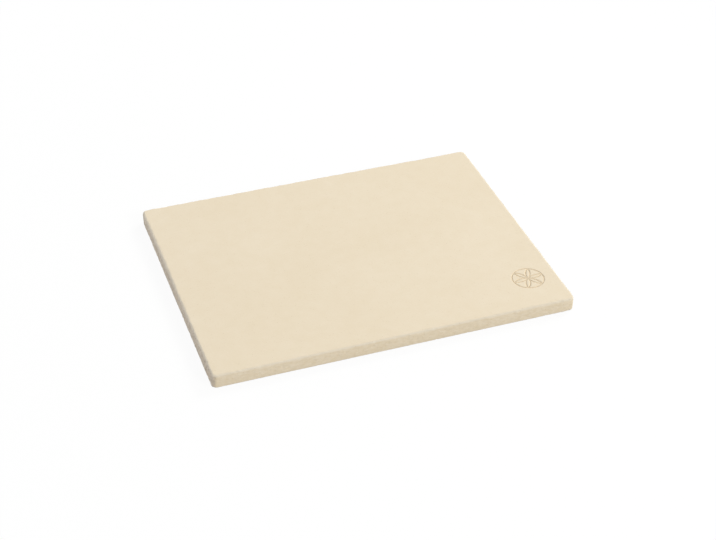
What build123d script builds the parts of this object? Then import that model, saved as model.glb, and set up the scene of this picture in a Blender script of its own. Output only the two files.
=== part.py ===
from build123d import *
import os

# A rectangular pizza stone: one dry-pressed, fired cordierite slab, 380 x 300 x 15 mm.
# It is a single piece, with no feet, handles, seams or fasteners. Both faces are flat. The upright
# corners are rounded by the die, the rim of the baking face has a soft rolled edge all the way
# round, and the rim of the underside has a smaller one that is wiped off before firing.
# Frame: millimetres, +Z up, the long side along X. The origin is the middle of the underside.

# Slab, as it lies on a shelf
slab_length = 380.0
slab_width = 300.0
slab_thickness = 15.0

# Roundings: the corners in plan, then the two rims in section
corner_radius = 6.0
baking_rim_radius = 4.5
underside_rim_radius = 1.5


def die_block():
    """The slab as the die's walls leave it: sharp rims, rounded upright corners."""
    outline = RectangleRounded(slab_length, slab_width, corner_radius)
    return extrude(outline, amount=slab_thickness)


def rolled_rims(block):
    """Both rims rounded in one unbroken roll that runs on round each corner."""
    baking_rim = block.faces().sort_by(Axis.Z)[-1].edges()
    rolled = fillet(baking_rim, radius=baking_rim_radius)
    underside_rim = rolled.faces().sort_by(Axis.Z)[0].edges()
    return fillet(underside_rim, radius=underside_rim_radius)


baking_stone = rolled_rims(die_block())

os.makedirs("parts", exist_ok=True)
export_step(baking_stone, "parts/baking_stone.step")
print("baking stone volume, cubic centimetres:", round(baking_stone.volume / 1000, 1))
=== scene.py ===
# %% [markdown]
# A pizza stone, looked at as a maker would
#
# The real thing is one slab of cordierite: a dry, sandy clay body that a press squeezes into a die
# in one stroke, and that is then fired until it is hard but still porous. It has no glaze. What the
# eye gets from it is a pale, warm, quite matt face, a soft rolled rim, and an ornament that the
# punch pressed into one corner. The frame below is the measured slab. Everything else in this file
# is built round it, in metres, with +Z up and the middle of the underside at the origin.

# %% Load the measured slab
import math
import random

import bmesh
import bpy
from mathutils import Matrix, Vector, kdtree, noise


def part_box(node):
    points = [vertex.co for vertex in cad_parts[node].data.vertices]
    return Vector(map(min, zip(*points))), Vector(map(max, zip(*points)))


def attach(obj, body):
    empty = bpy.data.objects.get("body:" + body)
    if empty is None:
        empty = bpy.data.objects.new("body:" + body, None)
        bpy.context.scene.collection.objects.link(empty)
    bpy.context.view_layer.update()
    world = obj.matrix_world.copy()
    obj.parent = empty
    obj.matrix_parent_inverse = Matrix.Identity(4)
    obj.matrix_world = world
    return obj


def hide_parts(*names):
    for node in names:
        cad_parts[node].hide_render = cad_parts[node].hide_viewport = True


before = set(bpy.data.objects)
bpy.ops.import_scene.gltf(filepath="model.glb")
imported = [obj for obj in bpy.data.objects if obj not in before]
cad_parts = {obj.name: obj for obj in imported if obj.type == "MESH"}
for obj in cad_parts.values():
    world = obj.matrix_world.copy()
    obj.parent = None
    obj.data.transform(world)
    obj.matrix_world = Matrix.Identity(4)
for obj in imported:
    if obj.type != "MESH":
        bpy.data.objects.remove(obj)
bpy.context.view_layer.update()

slab_low, slab_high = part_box("baking_stone")
slab_size = slab_high - slab_low
print("slab, in metres:", [round(side, 4) for side in slab_size])

# %% [markdown]
# Working in millimetres
#
# Potters and press makers think in millimetres and Blender works in metres. One small constant keeps
# the numbers readable: `4.5 * mm` is a length that a person can check with a caliper.

# %% One millimetre
mm = 0.001
print("slab, in millimetres:", [round(side / mm, 2) for side in slab_size])

# %% [markdown]
# Standing something round the table
#
# The camera and the lamps all stand somewhere round the stone and look back at it. A photographer
# gives such a place by how far round it is, how high, and how far off. At 0 degrees round one stands
# in front of the stone, and at 90 on its right. Cameras and lamps look along their own -Z, so
# `to_track_quat` turns that axis onto the line of sight.

# %% Stand a camera or a lamp
def stand(thing, looked_at, degrees_round, degrees_high, distance):
    """Put a camera or a lamp that far round, high and off, looking back at a point."""
    turn, height = math.radians(degrees_round), math.radians(degrees_high)
    level = math.cos(height)
    towards_thing = Vector((math.sin(turn) * level, -math.cos(turn) * level, math.sin(height)))
    bpy.context.scene.collection.objects.link(thing)
    thing.location = looked_at + towards_thing * distance
    thing.rotation_mode = "QUATERNION"
    thing.rotation_quaternion = (-towards_thing).to_track_quat("-Z", "Y")
    print(thing.name, "stands at", [round(c, 3) for c in thing.location])


# %% [markdown]
# The camera
#
# The camera stands to the left of the middle and looks down at about 36 degrees, as if someone
# stood at a table. It is far away with a long lens, which keeps the long sides nearly parallel. A
# lens and the sensor behind it are measured in millimetres in Blender too, so they take plain numbers.

# %% Set up the camera
camera_round, camera_height = -19.118, 36.053
camera_distance = 1642.3 * mm
camera_focal_length, sensor_width = 78.477, 36
camera_looks_at = Vector((4.2 * mm, -13.0 * mm, 0))

camera_data = bpy.data.cameras.new("table_camera")
camera_data.lens = camera_focal_length
camera_data.sensor_width = sensor_width
camera = bpy.data.objects.new("table_camera", camera_data)
stand(camera, camera_looks_at, camera_round, camera_height, camera_distance)
bpy.context.scene.camera = camera

# %% [markdown]
# A helper for node trees
#
# Every finish below is a small network of nodes. One function adds a node, gives it its settings and
# joins its inputs. A setting that names an input sets that input, a link is given as an output
# socket, and anything else is a property of the node. Colours are written as the hex values that a
# paint chart uses and turned to the linear light that the renderer counts in.

# %% Colours and nodes
def linear(hex_colour):
    """An sRGB hex colour as linear red, green, blue and alpha."""
    channels = [int(hex_colour[i:i + 2], 16) / 255 for i in (1, 3, 5)]
    light = [c / 12.92 if c <= 0.04045 else ((c + 0.055) / 1.055) ** 2.4 for c in channels]
    return (*light, 1)


def add_node(tree, kind, sockets=None, **properties):
    """A new node in the tree. Sockets maps an input's name or number to a value or an output socket."""
    node = tree.nodes.new(kind)
    for name, value in properties.items():
        setattr(node, name, value)
    for socket, value in (sockets or {}).items():
        if isinstance(value, bpy.types.NodeSocket):
            tree.links.new(value, node.inputs[socket])
        else:
            node.inputs[socket].default_value = value
    return node


def empty_material(name):
    """A material whose tree is empty."""
    material = bpy.data.materials.new(name)
    material.use_nodes = True
    material.node_tree.nodes.clear()
    return material, material.node_tree


plain_white = linear("#FFFFFF")
print("white in linear light:", plain_white[:3])

# %% [markdown]
# The studio: white sweep and sky
#
# Product pictures are shot on a white sweep, a sheet that runs from under the object up to the
# horizon. The stone should stand out on white, but the white must not pour extra light on it. So
# rays that the camera sees directly find plain white, and the rays that light the stone find a
# dimmer fill. `Light Path` tells the two apart. Gloss and glass would see the white as well.

# %% The fill that comes from all round
fill_strength = 0.55
fill_colour = linear("#F8F9FB")
full_white = 1.0


def seen_directly(tree):
    """1 for a ray that shows the surroundings as such: to the camera, in gloss or through glass."""
    path = add_node(tree, "ShaderNodeLightPath")
    gloss = add_node(tree, "ShaderNodeMath", {0: path.outputs["Is Camera Ray"],
                                              1: path.outputs["Is Glossy Ray"]}, operation="MAXIMUM")
    return add_node(tree, "ShaderNodeMath", {0: gloss.outputs[0],
                                             1: path.outputs["Is Transmission Ray"]},
                    operation="MAXIMUM").outputs[0]


world = bpy.data.worlds.new("white_studio")
bpy.context.scene.world = world
world.use_nodes = True
sky = world.node_tree
sky.nodes.clear()
fill = add_node(sky, "ShaderNodeBackground", {"Color": fill_colour, "Strength": fill_strength})
white = add_node(sky, "ShaderNodeBackground", {"Color": plain_white, "Strength": full_white})
either = add_node(sky, "ShaderNodeMixShader", {0: seen_directly(sky), 1: fill.outputs[0],
                                               2: white.outputs[0]})
add_node(sky, "ShaderNodeOutputWorld", {"Surface": either.outputs[0]})
print("fill strength:", fill_strength)

# %% [markdown]
# The sweep
#
# The sheet under the stone is a plain grid far larger than the view, so that a camera near the
# table's height still sees no edge. It takes the stone's shadow, which is soft and light because a
# studio throws light back from every side. Away from the stone the sheet melts into the white of the
# sky, so there is no line at the horizon.

# %% White paper that keeps a shadow
# metres from the stone's middle: up to the first the paper is fully shown, past the second not at all
full_shadow_reach, shadow_reach = 0.225, 0.9
shadow_share = 0.08
sweep_bounce = linear("#BCBCBC")


def sweep_material():
    """White paper that keeps the shadow near the stone and melts into the sky further off."""
    material, tree = empty_material("white_paper_sweep")
    bounced = add_node(tree, "ShaderNodeBsdfDiffuse", {"Color": sweep_bounce})
    paper = add_node(tree, "ShaderNodeBsdfDiffuse", {"Color": plain_white})
    glow = add_node(tree, "ShaderNodeEmission", {"Color": plain_white, "Strength": full_white})
    place = add_node(tree, "ShaderNodeTexCoord")
    distance = add_node(tree, "ShaderNodeVectorMath", {0: place.outputs["Object"]},
                        operation="LENGTH")
    near = add_node(tree, "ShaderNodeMapRange", {"Value": distance.outputs["Value"],
                                                 "From Min": full_shadow_reach,
                                                 "From Max": shadow_reach,
                                                 "To Min": shadow_share, "To Max": 0.0},
                    interpolation_type="SMOOTHSTEP")
    shown = add_node(tree, "ShaderNodeMixShader", {0: near.outputs[0], 1: glow.outputs[0],
                                                   2: paper.outputs[0]})
    surface = add_node(tree, "ShaderNodeMixShader", {0: seen_directly(tree), 1: bounced.outputs[0],
                                                     2: shown.outputs[0]})
    add_node(tree, "ShaderNodeOutputMaterial", {"Surface": surface.outputs[0]})
    return material


print("the shadow has faded out", shadow_reach, "metres from the stone's middle")

# %% [markdown]
# Laying the sheet
#
# A flat grid is enough, because the object stands on it and nothing of it is ever seen from the side.

# %% Lay the sweep
sweep_half_width = 30.0
sweep_squares = 8

paper = bmesh.new()
bmesh.ops.create_grid(paper, x_segments=sweep_squares, y_segments=sweep_squares, size=sweep_half_width)
sweep_mesh = bpy.data.meshes.new("sweep")
paper.to_mesh(sweep_mesh)
paper.free()
sweep_mesh.materials.append(sweep_material())
sweep = bpy.data.objects.new("sweep", sweep_mesh)
bpy.context.scene.collection.objects.link(sweep)
print("sweep is", 2 * sweep_half_width, "metres wide")

# %% [markdown]
# The lamps
#
# About half of the light is the sky's, as in a white tent. The main lamp is a soft box behind the
# stone on the right, which makes the baking face the brightest. A second one in front on the right
# lights the front wall. A weak, cool one stands low behind the stone on the left and only lifts the
# shade there, so the front left corner still shows a clear edge. All of them are soft and none is
# strong, because the clay is pale and the sides that the camera doesn't see should not clip either.
# In a low view from the right, about half of the stone's pixels still clip in red. A lamp's strength
# is worked out from the light that should arrive at the stone: a share of 1 makes a surface that
# faces the lamp look just as its colour is written. A square lamp of power P gives
# P / (pi * distance squared) there, and a matt white surface sends a share 1 / pi of that back.

# %% Hang the lamps
lamp_distance, lamp_side = 4.0, 1.2
warm_white = (0.985, 0.985, 0.945)
cool_white = (0.88, 0.92, 1.0)
lamps = [
    # name, degrees round and high, light on the stone, colour
    ("main_soft_box", 120, 35, 0.485, warm_white),
    ("front_lamp", 30, 30, 0.42, warm_white),
    ("left_lamp", -120, 10, 0.21, cool_white),
]

for name, degrees_round, degrees_high, light_on_stone, colour in lamps:
    data = bpy.data.lights.new(name, "AREA")
    data.shape = "SQUARE"
    data.size = lamp_side
    data.color = colour
    data.energy = light_on_stone * math.pi * math.pi * lamp_distance ** 2
    stand(bpy.data.objects.new(name, data), Vector((0, 0, 0)), degrees_round, degrees_high, lamp_distance)
    print(name, "gives", round(data.energy, 1), "watts")

# %% [markdown]
# The blank: a block with rounded corners
#
# The die is a rounded rectangle. In the editor one would add a cube, scale it and bevel its four
# upright edges, and the same operators exist for a script. A bevel with a profile of 0.5 is a
# quarter circle, and its offset is the radius. Two helpers find the edges to work on, as one would
# pick them by hand. They allow for rounding errors: places closer than a hundredth of a millimetre
# count as one, and a direction within a degree or so of an axis counts as along it. The measured
# slab has corners of 6 mm. Here they are a little crisper, which was judged.

# %% Press the blank
corner_radius, corner_steps = 5.2 * mm, 10
touching = 0.01 * mm
nearly = 0.9999

stone = bmesh.new()
bmesh.ops.create_cube(stone, size=1.0)
bmesh.ops.scale(stone, vec=slab_size, verts=stone.verts)
bmesh.ops.translate(stone, vec=(slab_low + slab_high) / 2, verts=stone.verts)


def edges_along(axis, at_least):
    """Edges that run along one axis (0, 1 or 2) and are at least that long."""
    found = []
    for edge in stone.edges:
        way = edge.verts[1].co - edge.verts[0].co
        if abs(way[axis]) >= at_least and abs(way[axis]) > nearly * way.length:
            found.append(edge)
    return found


def edges_at_height(height):
    """Edges that lie flat at one height."""
    return [edge for edge in stone.edges
            if all(abs(corner.co.z - height) < touching for corner in edge.verts)]


bmesh.ops.bevel(stone, geom=edges_along(2, slab_size.z / 2), offset=corner_radius,
                segments=corner_steps, profile=0.5, affect="EDGES", material=-1)
print("blank has", len(stone.faces), "faces")

# %% [markdown]
# The rolled rims
#
# Before firing, a wet sponge rubs the rim of the baking face round and takes the burr off the lower
# rim. Both are bevels of a whole ring of edges at once, so the roll runs on round the corners without
# a break. The upper one is cut a little fuller here than it ends up anywhere, and it gets its uneven
# size in a later step.

# %% Roll both rims
baking_rim_radius, baking_rim_steps = 4.5 * mm, 10
underside_rim_radius, underside_rim_steps = 1.5 * mm, 5

bmesh.ops.bevel(stone, geom=edges_at_height(slab_high.z), offset=baking_rim_radius,
                segments=baking_rim_steps, profile=0.5, affect="EDGES", material=-1)
bmesh.ops.bevel(stone, geom=edges_at_height(slab_low.z), offset=underside_rim_radius,
                segments=underside_rim_steps, profile=0.5, affect="EDGES", material=-1)
print("blank has", len(stone.faces), "faces with its rims rolled")

# %% [markdown]
# A grid over the faces
#
# So far the two faces are one polygon each and every side is a few long strips. Planes cut the whole
# slab into cells of about 5 mm, first across its length and then across its width. That is done
# while the mesh is still coarse, because every cut looks at every face. The rounded corners already
# have enough faces, so the first and the last plane pass where the corners end.

# %% Cut the slab into cells
flat_cell = 5.0 * mm
wall_rows = 8

bmesh.ops.subdivide_edges(stone, edges=edges_along(2, slab_size.z / 3), cuts=wall_rows - 1,
                          use_grid_fill=True)
for axis in (0, 1):
    straight = slab_size[axis] - 2 * corner_radius
    flat_cells = round(straight / flat_cell)
    across = Vector([float(i == axis) for i in range(3)])
    for k in range(flat_cells + 1):
        bmesh.ops.bisect_plane(stone, geom=stone.verts[:] + stone.edges[:] + stone.faces[:],
                               plane_co=across * straight * (k / flat_cells - 0.5), plane_no=across,
                               dist=touching)
print("stone has", len(stone.faces), "faces in 5 mm cells")

# %% [markdown]
# Finer cells where the clay has something to show
#
# The rims and the walls of a pressed edge have small dips, crumbs and nibbles, so their strips are
# cut once more, to columns below a millimetre. The two flat faces have nothing so fine.

# %% Cut the rims and the walls finer
rim_columns_per_cell = 6


def beside_a_rim(edge):
    """True where one of the edge's two faces doesn't lie flat."""
    return any(abs(face.normal.z) < nearly for face in edge.link_faces)


for axis in (0, 1):
    stone.normal_update()
    columns = [edge for edge in edges_along(axis, flat_cell / 2) if beside_a_rim(edge)]
    bmesh.ops.subdivide_edges(stone, edges=columns, cuts=rim_columns_per_cell - 1, use_grid_fill=True)
print("stone has", len(stone.faces), "faces with fine rims")

# %% [markdown]
# Where a place is on the rim
#
# The next step has to know, for every vertex near the rim, how far it is from the sharp side that
# the block had before its bevels, and which way that side lies. Along a straight side that is one
# coordinate. In a corner it is the way out from the middle of the corner's arc. The soft step is
# for this and for later steps: it lets every change fade in without a visible line.

# %% A soft step, and the way to the arris
def soft_step(share):
    """0 below 0, 1 above 1, and a smooth slope between."""
    share = min(1.0, max(0.0, share))
    return share * share * (3 - 2 * share)


def way_to_arris(place):
    """How far the sharp side is from a place near the rim, and the level way towards it."""
    beyond = [abs(place[i]) - slab_size[i] / 2 + corner_radius for i in (0, 1)]
    if min(beyond) <= 0:
        side = beyond.index(max(beyond))
        way = Vector([math.copysign(1.0, place[i]) if i == side else 0.0 for i in (0, 1)])
        return corner_radius - beyond[side], way
    way = Vector([math.copysign(beyond[i], place[i]) for i in (0, 1)])
    return corner_radius - way.length, way.normalized()


print("the middle of the baking face is", round(way_to_arris(Vector((0, 0)))[0] / mm), "mm from its arris")

# %% [markdown]
# An uneven roll
#
# A sponge that is led by hand never takes the same everywhere. How much it took is a guess from the
# change of shade along the rims. Here the roll is a little under 3 mm along most of the rim, fuller
# on the back half of the left side and towards the front right corner, crisper at the front left
# corner, and it swells and shrinks a little all along. A bevel has one radius for its whole ring, so
# the change is made afterwards: drawn towards the sharp arris that it was cut from, a round section
# keeps its shape and only gets smaller. Each vertex of the roll moves that way, by a share that
# follows the radius.

# %% Let the roll's radius change along the rim
crisp_roll = 2.8 * mm
fuller_stretches = [
    # middle of the stretch, the way its rim faces, how much fuller, how far it reaches
    (Vector((slab_low.x, 60.0 * mm)), Vector((-1, 0)), 0.8 * mm, 90.0 * mm),
    (Vector((slab_high.x, slab_low.y)), Vector((0, -1)), 0.5 * mm, 150.0 * mm),
    (Vector((slab_low.x, slab_low.y)), Vector((-1, 0)), -0.5 * mm, 120.0 * mm),
]
roll_wave, roll_change = 7.0 * mm, 0.9 * mm


def roll_radius(place, way):
    """The roll's radius at that place of the rim."""
    fuller = sum(extra * max(0.0, way.dot(side)) * soft_step(1 - (place.xy - middle).length / reach)
                 for middle, side, extra, reach in fuller_stretches)
    return crisp_roll + fuller + roll_change * noise.noise(place / roll_wave)


roll = [vert for vert in stone.verts if vert.co.z > slab_high.z - baking_rim_radius - touching
        and way_to_arris(vert.co)[0] < baking_rim_radius + touching]
radii = []
for vert in roll:
    inset, way = way_to_arris(vert.co)
    arris = Vector((*(vert.co.xy + way * inset), slab_high.z))
    radii.append(roll_radius(arris, way))
    vert.co = arris + (vert.co - arris) * radii[-1] / baking_rim_radius
print("roll is", round(min(radii) / mm, 1), "to", round(max(radii) / mm, 1), "mm")

# %% [markdown]
# The left side leans
#
# The left side looks as if it had been dressed by hand before firing, and its band of shade widens
# towards the front corner. Of the shapes that were tried, a top that leans in there by about a
# millimetre gave that best, so the lean is a reading and no measure. Every vertex near that side
# moves along X, by a share that follows its height and its place along the side and fades out in the
# face.

# %% Lean the left side
top_lean = 1.1 * mm
lean_reach = 14.0 * mm

for vert in stone.verts:
    near_side = soft_step(1 - (vert.co.x - slab_low.x) / lean_reach)
    up_share = (vert.co.z - slab_low.z) / slab_size.z
    front_share = (slab_high.y - vert.co.y) / slab_size.y
    vert.co.x += top_lean * near_side * up_share * front_share ** 2
print("left side leans by up to", round(top_lean / mm, 1), "mm")

# %% [markdown]
# Finer cells for the ornament
#
# The press's punch carries a small ornament near the front right corner. The cells under it are
# divided into squares of a third of a millimetre, small enough for its soft shoulders.

# %% Cut the ornament's place finer
ornament_middle = Vector((158.0 * mm, -103.0 * mm))
ornament_radius, ornament_margin = 16.5 * mm, 3.0 * mm
ornament_cuts = 13


def near_ornament(place):
    """True inside the square patch that holds the ornament."""
    reach = ornament_radius + ornament_margin
    return all(abs(place[i] - ornament_middle[i]) < reach for i in (0, 1))


patch = [face for face in stone.faces
         if face.calc_center_median().z > slab_high.z - touching
         and near_ornament(face.calc_center_median())]
# a dict drops the doubles and keeps the order, so that every run numbers the vertices alike
patch_edges = list(dict.fromkeys(edge for face in patch for edge in face.edges))
bmesh.ops.subdivide_edges(stone, edges=patch_edges, cuts=ornament_cuts, use_grid_fill=True)
print("ornament's patch had", len(patch), "cells; stone has", len(stone.faces), "faces")

# %% [markdown]
# The ornament
#
# It is the figure that anyone draws with a compass: a ring, and six arcs of the same radius with
# their middles on the ring, 60 degrees apart. Inside the ring they meet as six petals. The punch
# presses the line 0.8 mm deep, and clay slumps a little when the punch lifts, so the groove has
# soft shoulders. The depth is a formula of the place on the face, and a later step moves the
# vertices down by it.

# %% How deep the ornament is at a place
petals = 6
groove_width, groove_depth = 2.2 * mm, 0.8 * mm
ornament_turn = math.radians(8)

ring_points = [ornament_middle + ornament_radius * Vector((math.cos(turn), math.sin(turn)))
               for turn in (ornament_turn + 2 * math.pi * k / petals for k in range(petals))]


def pressed_share(place):
    """How far the punch pressed the clay there: 0 on the face, 1 at the bottom of a groove."""
    from_ring = (place.xy - ornament_middle).length - ornament_radius
    nearest = abs(from_ring)
    if from_ring < 0:
        nearest = min([nearest] + [abs((place.xy - point).length - ornament_radius)
                                   for point in ring_points])
    return soft_step(1 - 2 * nearest / groove_width)


petal_width = 2 * ornament_radius * (1 - math.cos(math.pi / petals))
print("a petal is", round(petal_width / mm, 1), "mm wide between the middles of its lines")

# %% [markdown]
# Nibbles in the crest
#
# Where a coarse grain sits right in the crest of the rim, it breaks away and leaves a shallow round
# nibble. Their places and sizes are drawn by lot, from a fixed start, so that every run of the file
# gives the same stone. The search tree finds the vertices round a place without looking at them all.

# %% Nibbles in the crest of the rim
nibble_count = 34
nibble_radii = (0.9 * mm, 2.4 * mm)
nibble_depths = (0.12 * mm, 0.38 * mm)
crest_tilt = (0.6, 0.8)

stone.normal_update()
chance = random.Random(7)
crest = [vert for vert in stone.verts if crest_tilt[0] < vert.normal.z < crest_tilt[1]]
place_tree = kdtree.KDTree(len(stone.verts))
for vert in stone.verts:
    place_tree.insert(vert.co, vert.index)
place_tree.balance()
nibbled = {}
for _ in range(nibble_count):
    middle = chance.choice(crest).co
    radius = chance.uniform(*nibble_radii)
    depth = chance.uniform(*nibble_depths) * radius / nibble_radii[1]
    for _, index, distance in place_tree.find_range(middle, radius):
        nibbled[index] = max(nibbled.get(index, 0.0), depth * soft_step(1 - distance / radius))
print(nibble_count, "nibbles touch", len(nibbled), "vertices")

# %% [markdown]
# Kinds of place
#
# How the clay looks depends on what touched it: the punch, the die's wall, the sponge, the file or
# the kiln shelf. The dressed kind also carries a painted shade of the left side. The way a vertex
# faces tells most of that. Each kind is a share from 0 to 1, so that one runs softly into the next,
# and only coarse goes past 1, on the dressed side. That side alone ends at a clear line, a little way
# round its corners, where its roughness and its painted shade stop. The shares shape the dips in the
# next step, and they are stored in the mesh for the finish to read.

# %% What kind of place a vertex is
shaded_dressed_side = Vector((-1, 0, 0))
# how far a place has to face that side, and how upright it has to be, before it counts as dressed and gets
# painted shade
facing_from, facing_fully, upright_from = 0.4, 0.6, 0.5
dressed_streaks = 2.2


def kinds_of_place(vert):
    """How much of each kind a vertex is. Rolled is 1 halfway round the roll and 0 at both its ends."""
    up = vert.normal.z
    upright = 1 - up * up
    facing = soft_step((vert.normal.dot(shaded_dressed_side) - facing_from) / (facing_fully - facing_from))
    dressed_and_shaded = facing * soft_step((upright - upright_from) / (1 - upright_from))
    under_punch = up > nearly and near_ornament(vert.co)
    return {"rolled": 4 * up * up * upright,
            "upright": upright,
            "dressed_and_shaded": dressed_and_shaded,
            "coarse": upright + dressed_streaks * dressed_and_shaded,
            "underneath": max(0.0, -up),
            "pressed": pressed_share(vert.co) if under_punch else 0.0,
            "nibbled": min(1.0, nibbled.get(vert.index, 0.0) / nibble_depths[0])}


layers = {name: stone.verts.layers.float.new(name) for name in kinds_of_place(crest[0])}
for vert in stone.verts:
    for name, share in kinds_of_place(vert).items():
        vert[layers[name]] = share
print("kinds of place:", *layers)

# %% [markdown]
# What the press and the kiln leave
#
# No pressed slab is perfect. The faces are made a few hundredths of a millimetre hollow in places.
# Dry powder packs loosely against the die, so the walls are made crumbly, and the dressed side twice
# as rough. The roll gets small dips, and three corners are worn, the front right one most. All of it
# goes inwards, along the surface's own normal, so the slab never outgrows its measured box. Noise
# that is cut off at 0 gives dips and leaves the surface between them where it is.

# %% Move the vertices
face_waves, face_hollow = (60.0 * mm, 60.0 * mm, 60.0 * mm), 0.15 * mm
rim_waves, rim_dip = (3.4 * mm, 3.4 * mm, 3.4 * mm), 0.45 * mm
crumb_waves, crumb_depth = (4.0 * mm, 4.0 * mm, 2.6 * mm), 0.45 * mm
worn_corners = [
    # the corner, how much is worn off it, how far that reaches
    (Vector((slab_high.x, slab_low.y)), 0.8 * mm, 13.0 * mm),
    (Vector((slab_low.x, slab_high.y)), 0.45 * mm, 13.0 * mm),
    (Vector((slab_high.x, slab_high.y)), 0.25 * mm, 10.0 * mm),
]


def dips(waves, place):
    """Smooth dips, that far apart along X, Y and Z: 0 between them and up to 1 in the deepest."""
    return max(0.0, noise.noise(Vector([place[i] / waves[i] for i in (0, 1, 2)])))


for vert in stone.verts:
    place, outwards = vert.co.copy(), vert.normal.copy()
    up = outwards.z
    kind = kinds_of_place(vert)
    worn = (1 - up ** 4) * sum(wear * soft_step(1 - (place.xy - corner).length / reach)
                               for corner, wear, reach in worn_corners)
    inwards = (face_hollow * up * up * dips(face_waves, place)
               + kind["rolled"] * rim_dip * dips(rim_waves, place)
               + (kind["upright"] + kind["dressed_and_shaded"]) * crumb_depth * dips(crumb_waves, place)
               + worn + groove_depth * kind["pressed"] + nibbled.get(vert.index, 0.0))
    vert.co = place - outwards * inwards
print("moved", len(stone.verts), "vertices")

# %% [markdown]
# In the place of the measured slab
#
# The measured slab stays in the file for what it weighs and for how it lies, and the pressed one is
# shown in its place: it is attached to the root body, and the measured slab is hidden. Its object
# sits at the origin and has its place in its mesh.

# %% Finish the mesh and stand it in for the measured slab
stone.normal_update()
stone_mesh = bpy.data.meshes.new("baking_stone_pressed")
stone.to_mesh(stone_mesh)
stone.free()
stone_mesh.shade_smooth()
pressed_stone = bpy.data.objects.new("pressed_stone", stone_mesh)
bpy.context.scene.collection.objects.link(pressed_stone)
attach(pressed_stone, "root")
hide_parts("baking_stone")
stone_mesh.calc_loop_triangles()
print("stone has", len(stone_mesh.loop_triangles), "triangles")

# %% [markdown]
# The finish: unglazed cordierite
#
# Cordierite forms when clay and talc are fired together. Mixed with its own ground-up grog, the body
# is pressed nearly dry and fired without a glaze, which leaves a pale cream, matt and slightly sandy
# skin. To the eye that is a soft cloudiness from the firing, a fine grain, and a few brown specks
# where a grain of iron sat. On the walls the powder's layers show as faint level streaks, and the
# dressed side has pits, as if a file had torn grains out. Every pattern is solid: it reads the place in
# the slab, so it runs on round every rim.

# %% Waves of the clay, from the size of a hand down to a grain
clay_waves = {
    "firing": (95.0 * mm, 2.0),
    "cloud": (13.0 * mm, 3.0),
    # most real pits are finer than this, and are drawn so coarse that they show from a step away
    "pit": (4.5 * mm, 2.0),
    # such grit is about 0.3 mm, too fine for a picture of a whole slab, so it is drawn four times coarser
    "grain": (1.2 * mm, 2.0),
}
# the powder's layers are finer than the streaks, which are drawn so coarse for the same reason
streak_wave, streak_detail = (4.0 * mm, 4.0 * mm, 1.8 * mm), 3.0

material, tree = empty_material("fired_cordierite")
place = add_node(tree, "ShaderNodeTexCoord").outputs["Object"]
waves = {name: add_node(tree, "ShaderNodeTexNoise", {"Vector": place, "Scale": 1 / wave,
                                                     "Detail": detail}).outputs[0]
         for name, (wave, detail) in clay_waves.items()}
level = add_node(tree, "ShaderNodeMapping", {"Vector": place, "Scale": [1 / w for w in streak_wave]})
streak = add_node(tree, "ShaderNodeTexNoise", {"Vector": level.outputs[0], "Scale": 1.0,
                                               "Detail": streak_detail})
print("clay has", len(waves), "waves and its streaks")

# %% [markdown]
# Specks, streaks and pits in their places
#
# Specks lie anywhere. A Voronoi pattern has one point in each of its cells, and a small disc round
# it is a speck. Streaks and pits belong to some kinds of place only, so they are multiplied by the
# shares that the mesh carries, which an Attribute node reads by name. A noise runs round its middle
# of 0.5, and only the pits' upper end counts, because pits are rare and sharp-edged.

# %% Put the marks where they belong
speck_spacing = 3.6 * mm
speck_core, speck_radius = 0.21 * mm, 0.42 * mm
noise_middle = 0.5
pit_from, pit_fully = 0.5, 0.68

specks = add_node(tree, "ShaderNodeTexVoronoi", {"Vector": place, "Scale": 1 / speck_spacing})
speck = add_node(tree, "ShaderNodeMapRange", {"Value": specks.outputs["Distance"],
                                              "From Min": speck_core / speck_spacing,
                                              "From Max": speck_radius / speck_spacing,
                                              "To Min": 1.0, "To Max": 0.0}).outputs[0]
kinds = {name: add_node(tree, "ShaderNodeAttribute", attribute_name=name).outputs["Fac"]
         for name in layers}
above_middle = add_node(tree, "ShaderNodeMath", {0: streak.outputs[0], 1: noise_middle},
                        operation="SUBTRACT")
wall_streak = add_node(tree, "ShaderNodeMath", {0: above_middle.outputs[0], 1: kinds["coarse"]},
                       operation="MULTIPLY").outputs[0]
deep_pits = add_node(tree, "ShaderNodeMapRange", {"Value": waves["pit"], "From Min": pit_from,
                                                  "From Max": pit_fully}).outputs[0]
pits_and_their_shade = add_node(tree, "ShaderNodeMath", {0: deep_pits, 1: kinds["dressed_and_shaded"]},
                  operation="MULTIPLY").outputs[0]
print("the finish reads", len(kinds), "kinds of place")

# %% [markdown]
# Colour
#
# One number, the tone, says how deep or pale the clay is at a place. It starts in the middle and
# each wave moves it a little. The tone then mixes two clay colours, and the kinds of place that the
# mesh carries tint the result. The roll is a trace paler where the sponge took the skin, and it is
# painted a neutral grey-white too, a painted sheen and shade of the rim. The walls are a little
# warmer and darker. The dressed side is painted a darker grey-mauve, a painted shade of that side,
# and its pits are painted dark, a painted shade in the hollows. The ornament's grooves are painted
# darker, a painted shade in the recess. The underside is greyer, from the kiln shelf.

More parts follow.
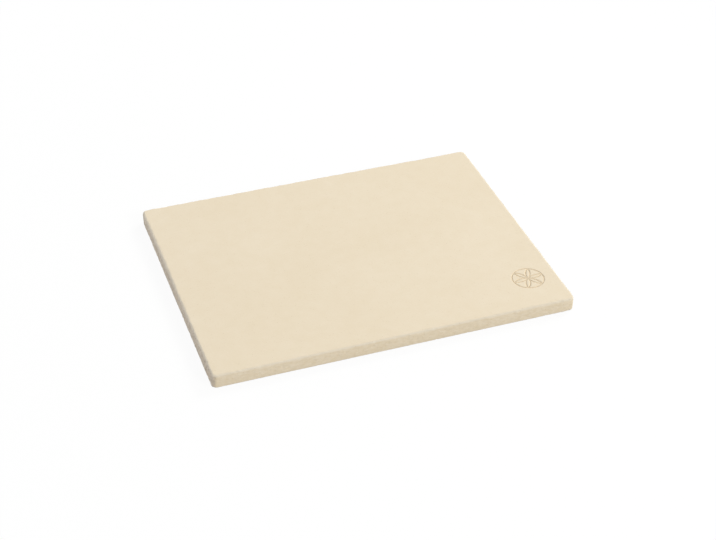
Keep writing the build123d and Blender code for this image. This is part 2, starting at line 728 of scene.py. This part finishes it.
# %% Mix the clay's colour
clay_deep, clay_pale = linear("#E9DABF"), linear("#F1E5D0")
middle_tone = 0.5
tone_shares = {"firing": 0.5, "cloud": 0.5, "grain": 0.6}
wall_streak_share = 2.5
place_tints = [
    # the roll is a trace paler where sponged, and its neutral grey-white is partly painted light: a
    # painted sheen and shade of the rim
    (kinds["rolled"], linear("#EBE6DC"), 0.4),
    (kinds["upright"], linear("#E6D3B1"), 0.12),
    # the dressed side is painted a darker grey-mauve: a painted shade of that side
    (kinds["dressed_and_shaded"], linear("#D0C0BC"), 0.25),
    # the pits are painted dark: a painted shade in their hollows, on top of their real relief
    (pits_and_their_shade, linear("#94887A"), 0.27),
    (kinds["underneath"], linear("#E2D9C8"), 0.5),
    # the ornament's grooves are painted darker: a painted shade in the recess
    (kinds["pressed"], linear("#D6BF9A"), 0.5),
    (kinds["nibbled"], linear("#F4EAD8"), 0.5),
    (speck, linear("#A98657"), 0.3),
]

tone = middle_tone - noise_middle * sum(tone_shares.values())
for name, share in tone_shares.items():
    tone = add_node(tree, "ShaderNodeMath", {0: waves[name], 1: share, 2: tone},
                    operation="MULTIPLY_ADD").outputs[0]
tone = add_node(tree, "ShaderNodeMath", {0: wall_streak, 1: wall_streak_share, 2: tone},
                operation="MULTIPLY_ADD").outputs[0]

# in a colour Mix node the two colours are inputs 6 and 7 and the result is output 2
clay = add_node(tree, "ShaderNodeMix", {0: tone, 6: clay_deep, 7: clay_pale}, data_type="RGBA").outputs[2]
for where, tint, share in place_tints:
    amount = add_node(tree, "ShaderNodeMath", {0: where, 1: share}, operation="MULTIPLY").outputs[0]
    clay = add_node(tree, "ShaderNodeMix", {0: amount, 6: clay, 7: tint}, data_type="RGBA").outputs[2]
print("clay colour is mixed", 1 + len(place_tints), "times")

# %% [markdown]
# Relief and sheen
#
# What is too small for the mesh is a bump: the heights below are in millimetres, are added up and go
# to one Bump node whose distance is a millimetre. The grain stands a few hundredths of a millimetre
# proud, and a speck sits in a shallow hole. On the walls the level streaks count too, and on the
# dressed side the pits. Where grains stand up the skin is a trace rougher. Matt ceramic
# scatters light back towards its source, which the shader's diffuse roughness gives, and a specular
# level below the usual 0.5 keeps a skin full of pores from shining.

# %% Add the relief and the roughness
skin_roughness, grain_roughness = 0.84, 0.1
scatters_back, pore_specular, ceramic_ior = 0.5, 0.35, 1.5
relief_heights = [(waves["cloud"], 0.05), (waves["grain"], 0.035), (wall_streak, 0.3), (pits_and_their_shade, -0.4),
                  (speck, -0.05)]

height = 0.0
for wave, millimetres in relief_heights:
    height = add_node(tree, "ShaderNodeMath", {0: wave, 1: millimetres, 2: height},
                      operation="MULTIPLY_ADD").outputs[0]
relief = add_node(tree, "ShaderNodeBump", {"Height": height, "Distance": mm, "Strength": 1.0})
roughness = add_node(tree, "ShaderNodeMath", {0: waves["grain"], 1: grain_roughness,
                                              2: skin_roughness - noise_middle * grain_roughness},
                     operation="MULTIPLY_ADD").outputs[0]
shader = add_node(tree, "ShaderNodeBsdfPrincipled", {"Base Color": clay, "Roughness": roughness,
                                                     "Diffuse Roughness": scatters_back,
                                                     "IOR": ceramic_ior,
                                                     "Specular IOR Level": pore_specular,
                                                     "Normal": relief.outputs[0]})
add_node(tree, "ShaderNodeOutputMaterial", {"Surface": shader.outputs[0]})
stone_mesh.materials.append(material)
print("finish:", material.name)

# %% [markdown]
# Last things
#
# The Standard view shows a colour as it is written, without a film's curve.

# %% Finish
bpy.context.scene.view_settings.view_transform = "Standard"
